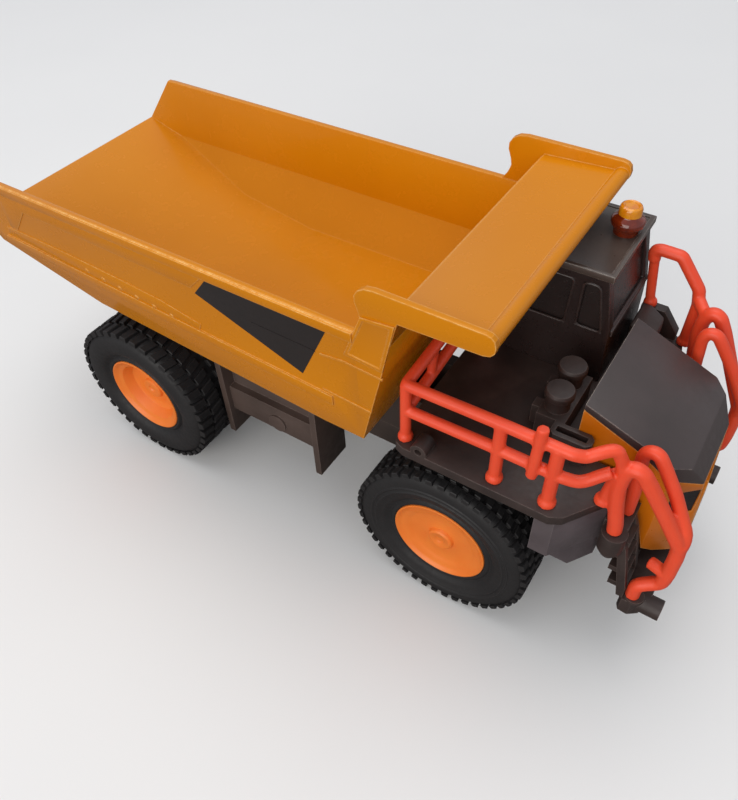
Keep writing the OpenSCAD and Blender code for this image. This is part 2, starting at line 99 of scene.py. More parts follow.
class Bench:
    """Edit-mode tools, used one after another on the active piece."""

    @staticmethod
    def clear() -> None:
        """Leave edit mode with nothing selected."""
        if bpy.context.object and bpy.context.object.mode != "OBJECT":
            bpy.ops.object.mode_set(mode="OBJECT")
        bpy.ops.object.select_all(action="DESELECT")

    @staticmethod
    def hold(piece: Piece) -> None:
        """Select one piece alone and make it active.

        Args:
            piece: The piece.
        """
        Bench.clear()
        piece.select_set(True)
        bpy.context.view_layer.objects.active = piece

    @staticmethod
    def open(piece: Piece) -> None:
        """Enter edit mode on a piece with all of it selected.

        Args:
            piece: The piece.
        """
        Bench.hold(piece)
        bpy.ops.object.mode_set(mode="EDIT")
        bpy.ops.mesh.select_all(action="SELECT")

    @staticmethod
    def close() -> None:
        """Leave edit mode."""
        bpy.ops.object.mode_set(mode="OBJECT")

    @staticmethod
    def call(piece: Piece, name: str) -> Piece:
        """Name a piece and its mesh, and hand the piece over."""
        piece.name = piece.data.name = name
        return piece

    @staticmethod
    def placed(name: str) -> Piece:
        """Apply the place of the active piece, name it, and hand it over."""
        bpy.ops.object.transform_apply(location=True, rotation=True, scale=True)
        return Bench.call(bpy.context.object, name)

    @staticmethod
    def weld() -> None:
        """Join those corners of the open piece that lie together."""
        bpy.ops.mesh.select_all(action="SELECT")
        bpy.ops.mesh.remove_doubles(threshold=WELD)

    @staticmethod
    def face_outwards() -> None:
        """Turn all faces of the open piece outwards and leave edit mode."""
        bpy.ops.mesh.select_all(action="SELECT")
        bpy.ops.mesh.normals_make_consistent(inside=False)
        Bench.close()

    @staticmethod
    def block(name: str, low: Point, high: Point) -> Piece:
        """Start a piece from a box.

        Args:
            name: Name of the piece.
            low: Lowest corner in millimetres.
            high: Highest corner in millimetres.

        Returns:
            The box, with its place in its mesh.
        """
        Bench.clear()
        a, b = at(*low), at(*high)
        bpy.ops.mesh.primitive_cube_add(size=1, location=(a + b) / 2, scale=b - a)
        return Bench.placed(name)

    @staticmethod
    def line(name: str, route: Sequence[Vector], closed: bool = False) -> Piece:
        """Draw a line of edges by extruding one corner from point to point.

        Args:
            name: Name of the piece.
            route: Points in metres.
            closed: Whether the line returns to its start.

        Returns:
            The piece, left in edit mode with all of it selected.
        """
        Bench.clear()
        bpy.ops.mesh.primitive_plane_add(size=MM, location=route[0])
        piece = Bench.placed(name)
        bpy.context.tool_settings.mesh_select_mode = (True, False, False)
        Bench.open(piece)
        bpy.ops.mesh.merge(type="CENTER")
        stops = list(route) + ([route[0]] if closed else [])
        for here, there in zip(stops, stops[1:]):
            bpy.ops.mesh.extrude_region_move(TRANSFORM_OT_translate={"value": there - here})
        Bench.weld()
        return piece

    @staticmethod
    def plate(name: str, outline: Sequence[Flat], axis: Axis, low: float, high: float) -> Piece:
        """Fill an outline and pull it out into a plate.

        Args:
            name: Name of the piece.
            outline: Corners across the axis, in millimetres.
            axis: Axis that the outline faces.
            low: Where the plate starts along the axis.
            high: Where it ends.

        Returns:
            The closed plate.
        """
        piece = Bench.line(name, [axis.lay(u, v, low) for u, v in outline], closed=True)
        bpy.ops.mesh.edge_face_add()
        bpy.ops.mesh.extrude_region_move(TRANSFORM_OT_translate={"value": axis.unit * (high - low) * MM})
        Bench.face_outwards()
        return piece

    @staticmethod
    def lathe(name: str, section: Sequence[Vector], centre: Vector, axis: Vector, steps: int,
              closed: bool = True) -> Piece:
        """Spin a section round an axis.

        Args:
            name: Name of the piece.
            section: Points of the section in metres.
            centre: A point on the axis.
            axis: Direction of the axis.
            steps: Facets in a full turn.
            closed: Whether the section is a ring; otherwise it runs from the axis to the axis.

        Returns:
            The closed piece.
        """
        piece = Bench.line(name, section, closed)
        bpy.ops.mesh.spin(steps=steps, angle=FULL_TURN, center=centre, axis=axis)
        Bench.weld()
        Bench.face_outwards()
        return piece

    @staticmethod
    def pipe(name: str, route: Sequence[Point], radius: float, bend: float = 0,
             closed: bool = False) -> Piece:
        """Make a round bar that follows a route with rounded bends.

        Args:
            name: Name of the piece.
            route: Corners of the route in millimetres.
            radius: Radius of the bar in millimetres.
            bend: How far from each corner a bend starts, in millimetres.
            closed: Whether the bar returns to its start.

        Returns:
            The closed bar.
        """
        Bench.line(name, [at(*p) for p in route], closed)
        if bend and len(route) > 2:
            bpy.ops.mesh.bevel(offset=bend * MM, segments=4, affect="VERTICES", clamp_overlap=True)
        Bench.close()
        bpy.ops.object.convert(target="CURVE")
        curve = bpy.context.object.data
        curve.bevel_depth = radius * MM
        curve.bevel_resolution = 3
        curve.use_fill_caps = True
        bpy.ops.object.convert(target="MESH")
        piece = bpy.context.object
        Bench.open(piece)
        Bench.weld()
        Bench.face_outwards()
        return Bench.call(piece, name)

    @staticmethod
    def from_node(name: str, node: str) -> Piece:
        """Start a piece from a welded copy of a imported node, with its flat faces joined.

        Args:
            name: Name of the piece.
            node: Name of the node.

        Returns:
            The copy, as a mesh of its own.
        """
        Bench.clear()
        piece = bpy.data.objects.new(name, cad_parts[node].data.copy())
        bpy.context.scene.collection.objects.link(piece)
        piece.data.name = name
        piece.data.materials.clear()
        Bench.open(piece)
        bpy.ops.mesh.customdata_custom_splitnormals_clear()
        Bench.weld()
        bpy.ops.mesh.dissolve_limited(angle_limit=math.radians(FLAT_ANGLE))
        Bench.face_outwards()
        return piece

    @staticmethod
    def pick(piece: Piece, towards: Point) -> None:
        """Open a piece with only the faces selected that face one way.

        Args:
            piece: The piece.
            towards: The direction, as a unit vector.
        """
        Bench.hold(piece)
        bpy.context.tool_settings.mesh_select_mode = (False, False, True)
        bpy.ops.object.mode_set(mode="EDIT")
        bpy.ops.mesh.select_all(action="DESELECT")
        Bench.close()
        for face in piece.data.polygons:
            face.select = face.normal.dot(towards) > FACING
        bpy.ops.object.mode_set(mode="EDIT")

    @staticmethod
    def move(offset: Point) -> None:
        """Move what is selected by so many millimetres."""
        bpy.ops.transform.translate(value=at(*offset))

    @staticmethod
    def recess(piece: Piece, towards: Point, rim: float, depth: float) -> None:
        """Inset the faces that face one way and push them in.

        Args:
            piece: The piece.
            towards: The direction, as a unit vector.
            rim: Width of the rim that stays, in millimetres.
            depth: How far in the inner part goes, in millimetres.
        """
        slant = 0.4
        Bench.pick(piece, towards)
        bpy.ops.mesh.inset(thickness=rim * MM, depth=0)
        bpy.ops.mesh.inset(thickness=depth * slant * MM, depth=-depth * MM)
        Bench.close()

    @staticmethod
    def apply(piece: Piece, kind: str, **settings: object) -> None:
        """Add a modifier with its settings and apply it.

        Args:
            piece: The piece.
            kind: Kind of modifier.
            **settings: Settings of the modifier, by name.
        """
        Bench.hold(piece)
        modifier = piece.modifiers.new(kind.lower(), kind)
        for key, value in settings.items():
            setattr(modifier, key, value)
        bpy.ops.object.modifier_apply(modifier=modifier.name)

    @staticmethod
    def round_edges(piece: Piece, width: float, segments: int = 2, angle: float = 25) -> None:
        """Round edges that turn by more than an angle in degrees, so many millimetres wide."""
        Bench.apply(piece, "BEVEL", width=width * MM, segments=segments, limit_method="ANGLE",
                    angle_limit=math.radians(angle))

    @staticmethod
    def join(pieces: Sequence[Piece], name: str) -> Piece:
        """Join several pieces into one mesh.

        Args:
            pieces: The pieces, the first of which takes the others in.
            name: Name of the result.

        Returns:
            The joined piece.
        """
        Bench.clear()
        for piece in pieces:
            piece.select_set(True)
        bpy.context.view_layer.objects.active = pieces[0]
        bpy.ops.object.join()
        return Bench.call(pieces[0], name)

    @staticmethod
    def melt(piece: Piece, cell: float, passes: int) -> None:
        """Rebuild overlapping parts from cells of so many millimetres, with soft fillets."""
        Bench.apply(piece, "REMESH", mode="VOXEL", voxel_size=cell * MM)
        Bench.apply(piece, "SMOOTH", factor=0.5, iterations=passes)

    @staticmethod
    def round_copies(piece: Piece, centre: Vector, axis: Vector, count: int) -> None:
        """Repeat a piece evenly round an axis, inside the same mesh.

        Args:
            piece: The piece.
            centre: A point on the axis.
            axis: Direction of the axis.
            count: How many there are in the end.
        """
        Bench.open(piece)
        bpy.ops.mesh.spin(steps=count - 1, dupli=True, angle=FULL_TURN * (count - 1) / count,
                          center=centre, axis=axis)
        Bench.face_outwards()

    @staticmethod
    def turn(piece: Piece, degrees: float, centre: Vector, axis: str) -> None:
        """Turn a piece's mesh.

        Args:
            piece: The piece.
            degrees: How far it turns.
            centre: A point that stays in place.
            axis: Letter of the axis.
        """
        Bench.open(piece)
        bpy.ops.transform.rotate(value=math.radians(degrees), orient_axis=axis, center_override=centre)
        Bench.close()

    @staticmethod
    def mirror(piece: Piece) -> None:
        """Move a piece's mesh to the other side of the truck's middle.

        Args:
            piece: The piece.
        """
        Bench.open(piece)
        bpy.ops.transform.resize(value=(1, -1, 1), center_override=(0, 0, 0))
        Bench.face_outwards()

    @staticmethod
    def other_side(piece: Piece, name: str) -> Piece:
        """Make the twin of a piece across the truck's middle, with a mesh of its own.

        Args:
            piece: The piece.
            name: Name of the twin.

        Returns:
            The twin.
        """
        Bench.hold(piece)
        bpy.ops.object.duplicate()
        twin = bpy.context.object
        Bench.mirror(twin)
        return Bench.call(twin, name)

# ---------- finishes ----------


class Recipe:
    """The node tree of one material, built from the shader outwards.

    The colour sockets of a mix node have numbers, because others share their names.
    """

    mix_first, mix_second, mix_result = 6, 7, 2
    flat_dot, edge_dot = 0.995, 0.86

    def __init__(self, name: str) -> None:
        """Start an empty material with its shader.

        Args:
            name: Name of the material.
        """
        self.material = bpy.data.materials.new(name)
        self.material.use_nodes = True
        self.tree = self.material.node_tree
        self.shader = self.tree.nodes["Principled BSDF"]
        self.place = self.tree.nodes.new("ShaderNodeTexCoord").outputs["Object"]

    def set(self, **values: object) -> None:
        """Set the shader's own sockets, with spaces in their names as underscores."""
        for key, value in values.items():
            self.shader.inputs[key.replace("_", " ")].default_value = value

    def join(self, source: Socket, target: str) -> None:
        """Feed a socket of the shader."""
        self.tree.links.new(source, self.shader.inputs[target])

    def node(self, kind: str, inputs: dict[str | int, object], **settings: object) -> bpy.types.Node:
        """Add a node.

        Args:
            kind: Its type, without the prefix that all types share.
            inputs: A value or a socket for each of its inputs that is used, by name or number.
            **settings: Settings of the node, by name.

        Returns:
            The node.
        """
        node = self.tree.nodes.new(f"ShaderNode{kind}")
        for key, value in settings.items():
            setattr(node, key, value)
        for key, value in inputs.items():
            if isinstance(value, Socket):
                self.tree.links.new(value, node.inputs[key])
            else:
                node.inputs[key].default_value = value
        return node

    def grain(self, size: float, detail: float = 2, rough: float = 0.5,
              stretch: Point = (1, 1, 1)) -> Socket:
        """Add a noise pattern.

        Args:
            size: Size of its features in millimetres.
            detail: Levels of detail.
            rough: Share of the finer levels.
            stretch: Scale along each axis.

        Returns:
            The pattern, about 0.5 on average.
        """
        spot = self.place
        if stretch != (1, 1, 1):
            spot = self.node("Mapping", {"Vector": spot, "Scale": stretch}).outputs["Vector"]
        inputs = {"Vector": spot, "Scale": 1 / (size * MM), "Detail": detail, "Roughness": rough}
        return self.node("TexNoise", inputs).outputs["Fac"]

    def span(self, source: Socket, given: Flat, wanted: Flat = (0, 1)) -> Socket:
        """Map the given range of a value onto the wanted one, clamped."""
        ends = zip(("From Min", "From Max", "To Min", "To Max"), (*given, *wanted))
        return self.node("MapRange", {"Value": source, **dict(ends)}).outputs["Result"]

    def blend(self, factor: Socket, first: Colour | Socket, second: Colour | Socket) -> Socket:
        """Mix two colours by a factor.

        Args:
            factor: 0 for the first colour, 1 for the second.
            first: A colour, or the socket of one.
            second: A colour, or the socket of one.

        Returns:
            The mixed colour.
        """
        first, second = (end if isinstance(end, Socket) else (*end, 1) for end in (first, second))
        inputs = {"Factor": factor, self.mix_first: first, self.mix_second: second}
        return self.node("Mix", inputs, data_type="RGBA").outputs[self.mix_result]

    def times(self, first: Socket, second: Socket) -> Socket:
        """Multiply two values."""
        return self.node("Math", {0: first, 1: second}, operation="MULTIPLY").outputs["Value"]

    def emboss(self, height: Socket, depth: float) -> None:
        """Bump the surface by a height pattern, to a depth in millimetres."""
        node = self.node("Bump", {"Height": height, "Distance": depth * MM, "Strength": 1})
        self.join(node.outputs["Normal"], "Normal")

    def edges(self, radius: float) -> Socket:
        """Find the edges of a piece.

        Args:
            radius: How far from an edge it still shows, in millimetres.

        Returns:
            1 along an edge and 0 on the flat.
        """
        bevel = self.node("Bevel", {"Radius": radius * MM}, samples=4)
        normals = {0: bevel.outputs["Normal"], 1: self.node("NewGeometry", {}).outputs["Normal"]}
        dot = self.node("VectorMath", normals, operation="DOT_PRODUCT")
        return self.span(dot.outputs["Value"], (self.flat_dot, self.edge_dot))


@dataclass(frozen=True)
class Finish:
    """A finish: its record slot, its colours and how its surface looks.

    The colour and the shade take turns in soft patches. Sizes are in millimetres.
    """

    name: str
    slot: str
    colour: Colour
    shade: Colour
    roughness: float
    patch: float
    grain: float
    bump: float
    # Edge colour and how much of it shows: partly worn paint, partly a painted highlight along edges
    edge: Colour = (0.2, 0.17, 0.16)
    edge_share: float = 0
    edge_width: ClassVar[float] = 0.35
    chip: ClassVar[float] = 1.6
    least_wear_and_highlight: ClassVar[float] = 0.2
    worn_range: ClassVar[Flat] = (0.3, 0.7)
    unevenness: ClassVar[Flat] = (0.85, 1.15)

    def material(self) -> bpy.types.Material:
        """Give the finish's material, made once."""
        known = bpy.data.materials.get(self.name)
        return known or self.mixed().material

    def mixed(self) -> Recipe:
        """Mix the base colour in soft patches with paler edges, and roughness and grain from noise.

        Returns:
            The finished recipe.
        """
        recipe = Recipe(self.name)
        patches = recipe.span(recipe.grain(self.patch, 3), NOISE_MIDDLE)
        colour = recipe.blend(patches, self.colour, self.shade)
        # The paler edges are partly worn paint and partly a painted highlight, broken up by noise
        if self.edge_share:
            chip_and_glint_noise = recipe.grain(self.chip, 4, 0.7)
            broken = recipe.span(chip_and_glint_noise, NOISE_MIDDLE, (self.least_wear_and_highlight, self.edge_share))
            wear_and_highlight = recipe.times(recipe.edges(self.edge_width), broken)
            colour = recipe.blend(wear_and_highlight, colour, self.edge)
        recipe.join(colour, "Base Color")
        worn = recipe.grain(self.patch / 6, 4, 0.6)
        rough = tuple(self.roughness * share for share in self.unevenness)
        recipe.join(recipe.span(worn, self.worn_range, rough), "Roughness")
        recipe.emboss(recipe.grain(self.grain, 3), self.bump)
        self.refine(recipe)
        return recipe

    def refine(self, recipe: Recipe) -> None:
        """Add what only one kind of finish has, which is nothing on a plain one."""


@dataclass(frozen=True)
class GlossPaint(Finish):
    """Glossy paint on a casting: an even coat with a little orange peel and painted highlights on its edges.
    """

    # Pale edge colour: a painted highlight along the rounded cast edges
    edge: Colour = (0.95, 0.62, 0.24)
    edge_share: float = 0.85
    coat: float = 0.12
    tint: Colour = (1, 0.62, 0.2)
    edge_width: ClassVar[float] = 0.5

    def refine(self, recipe: Recipe) -> None:
        """Add the clear coat over the paint."""
        recipe.set(Coat_Weight=self.coat, Coat_Roughness=0.06, Specular_IOR_Level=0.5,
                   Specular_Tint=(*self.tint, 1))


@dataclass(frozen=True)
class Moulding(Finish):
    """Moulded plastic with edges painted a little paler, partly as worn paint and partly as a painted
    highlight.
    """

    edge_share: float = 0.5


@dataclass(frozen=True)
class SoftPlastic(Finish):
    """Soft through-coloured plastic that lets a little light in."""

    depth: float = 0.6

    def refine(self, recipe: Recipe) -> None:
        """Add light under the surface."""
        recipe.set(Subsurface_Weight=0.15, Subsurface_Radius=(1.0, 0.35, 0.2),
                   Subsurface_Scale=self.depth * MM, Specular_IOR_Level=0.45)


@dataclass(frozen=True)
class ClearAmber(Finish):
    """Clear amber moulding."""

    def refine(self, recipe: Recipe) -> None:
        """Let light through the tinted moulding."""
        recipe.set(Transmission_Weight=0.25, IOR=1.49, Coat_Weight=0.6, Coat_Roughness=0.03)


@dataclass(frozen=True)
class Metal(Finish):
    """Bright drawn metal with fine marks round the rod."""

    def refine(self, recipe: Recipe) -> None:
        """Make the finish metallic and draw its marks out."""
        recipe.set(Metallic=1.0)
        recipe.emboss(recipe.grain(0.3, 2, 0.5, (1, 0.03, 1)), 0.01)


class Finishes:
    """All finishes of the truck: name, slot, colour, shade, roughness, patch, grain and bump."""

    body = GlossPaint("body_yellow", "body_paint", (0.63, 0.215, 0.003), (0.6, 0.2, 0.002), 0.26, 40, 1.4,
                      0.004)
    nose = GlossPaint("nose_yellow", "nose_paint", (0.66, 0.175, 0.005), (0.62, 0.16, 0.004), 0.32, 20, 1.4,
                      0.004)
    decal = GlossPaint("panel_charcoal", "body_paint", (0.014, 0.0095, 0.009), (0.011, 0.008, 0.0075), 0.4,
                       12, 0.8, 0.003, edge_share=0, coat=0.1, tint=(1, 1, 1))
    rails = SoftPlastic("handrail_red", "handrail_plastic", (0.86, 0.085, 0.03), (0.8, 0.07, 0.024), 0.42, 12,
                        0.5, 0.006)
    rims = SoftPlastic("rim_orange", "rim_plastic", (0.87, 0.225, 0.03), (0.84, 0.2, 0.024), 0.36, 8, 0.6,
                       0.005)
    chassis = Moulding("chassis_black", "chassis_plastic", (0.05, 0.034, 0.028), (0.034, 0.023, 0.019), 0.5,
                       14, 0.35, 0.012, edge=(0.22, 0.16, 0.13), edge_share=0.7)
    # Same plastic as the chassis, painted lighter: painted light on the tank panel that faces the lamp
    tank = Moulding("tank_brown_lit", "chassis_plastic", (0.082, 0.054, 0.044), (0.06, 0.039, 0.031), 0.5, 14,
                    0.35, 0.012, edge=(0.3, 0.23, 0.2), edge_share=0.8)
    deck = Moulding("deck_brown_black", "deck_plastic", (0.042, 0.026, 0.022), (0.024, 0.014, 0.012), 0.5, 9,
                    0.3, 0.02, edge=(0.25, 0.19, 0.165), edge_share=0.6)
    # Same plastic as the deck, painted paler and greyer: a painted highlight where the bracket's facet
    # catches light
    bracket = Moulding("bracket_grey_lit", "deck_plastic", (0.105, 0.084, 0.09), (0.076, 0.06, 0.064), 0.46, 9,
                       0.3, 0.016, edge=(0.3, 0.25, 0.25), edge_share=0.7)
    # Same plastic as the cab, painted lighter with pale edges: a painted reflection on the glossy roof
    roof = Moulding("roof_black_lit", "cab_plastic", (0.074, 0.054, 0.044), (0.056, 0.042, 0.035), 0.32, 12, 0.4,
                    0.006, edge=(0.42, 0.36, 0.31), edge_share=0.9)
    cab = Moulding("cab_black", "cab_plastic", (0.026, 0.016, 0.0145), (0.02, 0.012, 0.011), 0.3, 12, 0.4,
                   0.006, edge=(0.2, 0.15, 0.135))
    hood = Moulding("hood_grey", "hood_coating", (0.06, 0.045, 0.043), (0.05, 0.038, 0.036), 0.45, 14, 0.3,
                    0.01, edge=(0.5, 0.42, 0.36), edge_share=0.9)
    grille = Moulding("grille_black", "grille_plastic", (0.012, 0.011, 0.011), (0.009, 0.008, 0.008), 0.55, 8,
                      0.3, 0.008, edge=(0.08, 0.07, 0.07), edge_share=0.35)
    glazing = Moulding("window_smoke", "smoked_glazing", (0.026, 0.018, 0.0165), (0.02, 0.014, 0.013), 0.25,
                       10, 0.8, 0.004, edge=(0.05, 0.04, 0.04), edge_share=0.2)
    rubber = Moulding("tyre_rubber", "tyre", (0.01, 0.009, 0.0095), (0.007, 0.006, 0.0065), 0.64, 9, 0.25,
                      0.012, edge=(0.05, 0.045, 0.045), edge_share=0.6)
    amber = ClearAmber("clear_amber", "beacon_amber", (0.26, 0.03, 0.006), (0.16, 0.016, 0.004), 0.1, 2, 0.8,
                       0.02)
    lens = ClearAmber("bright_amber", "beacon_amber", (1, 0.4, 0.01), (0.9, 0.27, 0.006), 0.12, 2, 0.8, 0.004)
    steel = Metal("axle_steel", "steel", (0.6, 0.6, 0.62), (0.5, 0.5, 0.52), 0.28, 6, 0.3, 0.004)


def fit(piece: Piece, body: str, finish: Finish, replaces: Sequence[str] = (),
        angle: float = SMOOTH_ANGLE) -> None:
    """Dress a finished piece and let it ride on its body.

    Args:
        piece: The piece.
        body: Body that it rides on.
        finish: Its finish.
        replaces: Nodes that it stands for.
        angle: Sharpest angle that is shaded smooth, in degrees.
    """
    Bench.hold(piece)
    bpy.ops.object.shade_smooth_by_angle(angle=math.radians(angle))
    piece.data.materials.clear()
    piece.data.materials.append(finish.material())
    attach(piece, body)
    if replaces:
        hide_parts(*replaces)
    log.info("%s: %d faces, %s, rides on %s", piece.name, len(piece.data.polygons), finish.name, body)


def fit_pair(right: Piece, name: str, body: str, finish: Finish, node: str = "",
             angle: float = SMOOTH_ANGLE) -> None:
    """Fit a piece on the right and its twin on the left.

    Args:
        right: The piece on the right.
        name: Name of both, without the side.
        body: Body that they ride on.
        finish: Their finish.
        node: Name of the nodes that they stand for, without the side, if there are any.
        angle: Sharpest angle that is shaded smooth, in degrees.
    """
    Bench.call(right, f"{name}_{Side.RIGHT.word}")
    left = Bench.other_side(right, f"{name}_{Side.LEFT.word}")
    for piece, side in ((right, Side.RIGHT), (left, Side.LEFT)):
        fit(piece, body, finish, [f"{node}_{side.word}"] if node else [], angle)


def dress_node(name: str, finish: Finish) -> None:
    """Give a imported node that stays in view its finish.

    Args:
        name: Name of the node.
        finish: Its finish.
    """
    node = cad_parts[name]
    node.data.materials.clear()
    node.data.materials.append(finish.material())
    log.info("%s: packed node in %s", name, finish.name)


# ---------- wheels ----------


@dataclass
class Wheel:
    """The wheels of one axle, made on the right and mirrored to the left.

    Points of the tyre's section and of the rim's dish are a radius and a depth from the outer face.
    A row of lugs is its outer side, its inner side, its skew and its turn in pitches.
    """

    axle: str
    axle_x: float
    half_width: float
    width: float
    section: tuple[Flat, ...]
    dish: tuple[Flat, ...]
    lugs: int
    lug_length: float
    rows: tuple[LugRow, ...]
    tread_r: float
    radius: float = 27.2
    steps: int = 128
    sunk: float = 0.6
    short: float = 0.02
    lug_taper: Point = (0.86, 0.93, 1)
    lug_bevel: float = 0.16
    tyre_smooth: float = 40
    rim_smooth: float = 30

    def spot(self, radius: float, depth: float) -> Vector:
        """Place a point above the axle by its radius and its depth from the outer face."""
        return at(self.axle_x, depth - self.half_width, self.radius + radius)

    @property
    def hub(self) -> Vector:
        """Give the middle of the axle."""
        return at(self.axle_x, 0, self.radius)

    def ring(self, name: str, section: Sequence[Flat], closed: bool) -> Piece:
        """Spin a section round the axle into a closed ring."""
        points = [self.spot(radius, depth) for radius, depth in section]
        return Bench.lathe(name, points, self.hub, Axis.Y.unit, self.steps, closed)

    def lug_row(self, start: float, end: float, skew: float, turn: float) -> Piece:
        """Make one row of tread blocks.

        Args:
            start: Depth of the row's outer side in millimetres.
            end: Depth of its inner side.
            skew: How far the inner side is shifted round the tread.
            turn: Turn of the row in pitches.

        Returns:
            The row as one mesh.
        """
        half = self.lug_length / 2
        y0, y1 = start - self.half_width, end - self.half_width
        z0, z1 = self.radius + self.tread_r - self.sunk, 2 * self.radius - self.short
        row = Bench.block("lugs", (self.axle_x - half, y0, z0), (self.axle_x + half, y1, z1))
        Bench.pick(row, (0, 1, 0))
        Bench.move((skew, 0, 0))
        Bench.close()
        Bench.pick(row, (0, 0, 1))
        bpy.ops.transform.resize(value=self.lug_taper)
        bpy.ops.mesh.bevel(offset=self.lug_bevel * MM, segments=1, affect="EDGES")
        Bench.close()
        Bench.round_copies(row, self.hub, Axis.Y.unit, self.lugs)
        Bench.turn(row, 360 * turn / self.lugs, self.hub, "Y")
        return row

    def fit_part(self, right: Piece, part: str, finish: Finish, angle: float) -> None:
        """Fit a part of the right wheel and its twin on the left one."""
        node = f"{self.axle}_{part}"
        fit_pair(right, f"{node}_moulding", f"{self.axle}_wheels", finish, node, angle)

    def tyre(self) -> None:
        """Build both tyres with their sidewall rings and tread blocks."""
        inner = [(radius, self.width - depth) for radius, depth in reversed(self.section)]
        carcass = self.ring("carcass", [*self.section, *inner], True)
        lugs = [self.lug_row(*row) for row in self.rows]
        self.fit_part(Bench.join([carcass, *lugs], "tyre"), "tyre", Finishes.rubber, self.tyre_smooth)

    def rim(self) -> None:
        """Build both rims with their dish and hub."""
        self.fit_part(self.ring("rim", self.dish, False), "rim", Finishes.rims, self.rim_smooth)

    def build(self) -> None:
        """Build the tyres and rims and finish the axle rod."""
        self.tyre()
        self.rim()
        dress_node(f"{self.axle}_axle", Finishes.steel)


TYRE_BEAD = ((14.3, 3.0), (14.3, 1.9), (14.7, 1.45), (15.3, 1.35))
RIM_LIP = ((13.5, 1.5), (13.9, 1.25), (14.3, 1.4), (14.4, 2.2))
FRONT_TYRE = (
    *TYRE_BEAD, (15.8, 1.6), (16.2, 1.9), (16.7, 1.75), (17.4, 1.1), (18.5, 0.6), (19.7, 0.4), (20.1, 0.1),
    (20.5, 0.05), (20.8, 0.35), (21.2, 0.4), (21.5, 0.15), (21.9, 0.1), (22.2, 0.4), (23.6, 0.45),
    (24.8, 0.7), (25.7, 1.2), (26.15, 1.9), (26.3, 2.9),
)
REAR_TYRE = (
    *TYRE_BEAD, (15.8, 1.7), (16.2, 2.1), (16.7, 1.9), (17.3, 1.2), (18.2, 0.6), (19.4, 0.25), (20.6, 0.1),
    (22.0, 0.15), (23.3, 0.35), (24.3, 0.7), (25.1, 1.3), (25.7, 2.1), (26.0, 3.2),
)
FRONT_DISH = (
    (0, 2.5), (1.0, 2.5), (1.5, 2.15), (3.2, 1.95), (3.8, 2.3), (4.1, 3.1), (6.2, 3.4), (9.5, 3.3),
    (10.4, 2.95), (11.2, 2.5), (12.2, 2.3), (13.0, 2.0), *RIM_LIP, (14.4, 12), (12.4, 12), (12.4, 5.8),
    (5, 5.8), (5, 13), (1.5, 13), (1.5, 3.0), (0, 3.0),
)
REAR_DISH = (
    (0, 5.6), (1.0, 5.6), (1.5, 5.2), (3.0, 5.0), (3.7, 5.3), (4.1, 6.2), (6.0, 6.6), (8.6, 6.5), (9.6, 5.9),
    (10.6, 4.0), (11.3, 2.9), (12.3, 2.45), (13.0, 2.1), *RIM_LIP, (14.4, 23.6), (12.4, 23.6),
    (12.4, 8.9), (5, 8.9), (5, 24.6), (1.5, 24.6), (1.5, 6.0), (0, 6.0),
)
FRONT_ROWS = (
    (0.6, 3.6, 0.3, 0.0), (3.9, 6.8, -0.3, 0.5), (7.2, 10.1, 0.3, 0.0), (10.4, 13.4, -0.3, 0.5),
)
REAR_ROWS = (
    (0.7, 5.9, 0.9, 0.0), (6.3, 11.6, -0.9, 0.5), (14.0, 19.3, 0.9, 0.0), (19.7, 24.9, -0.9, 0.5),
)


# ---------- handrails ----------


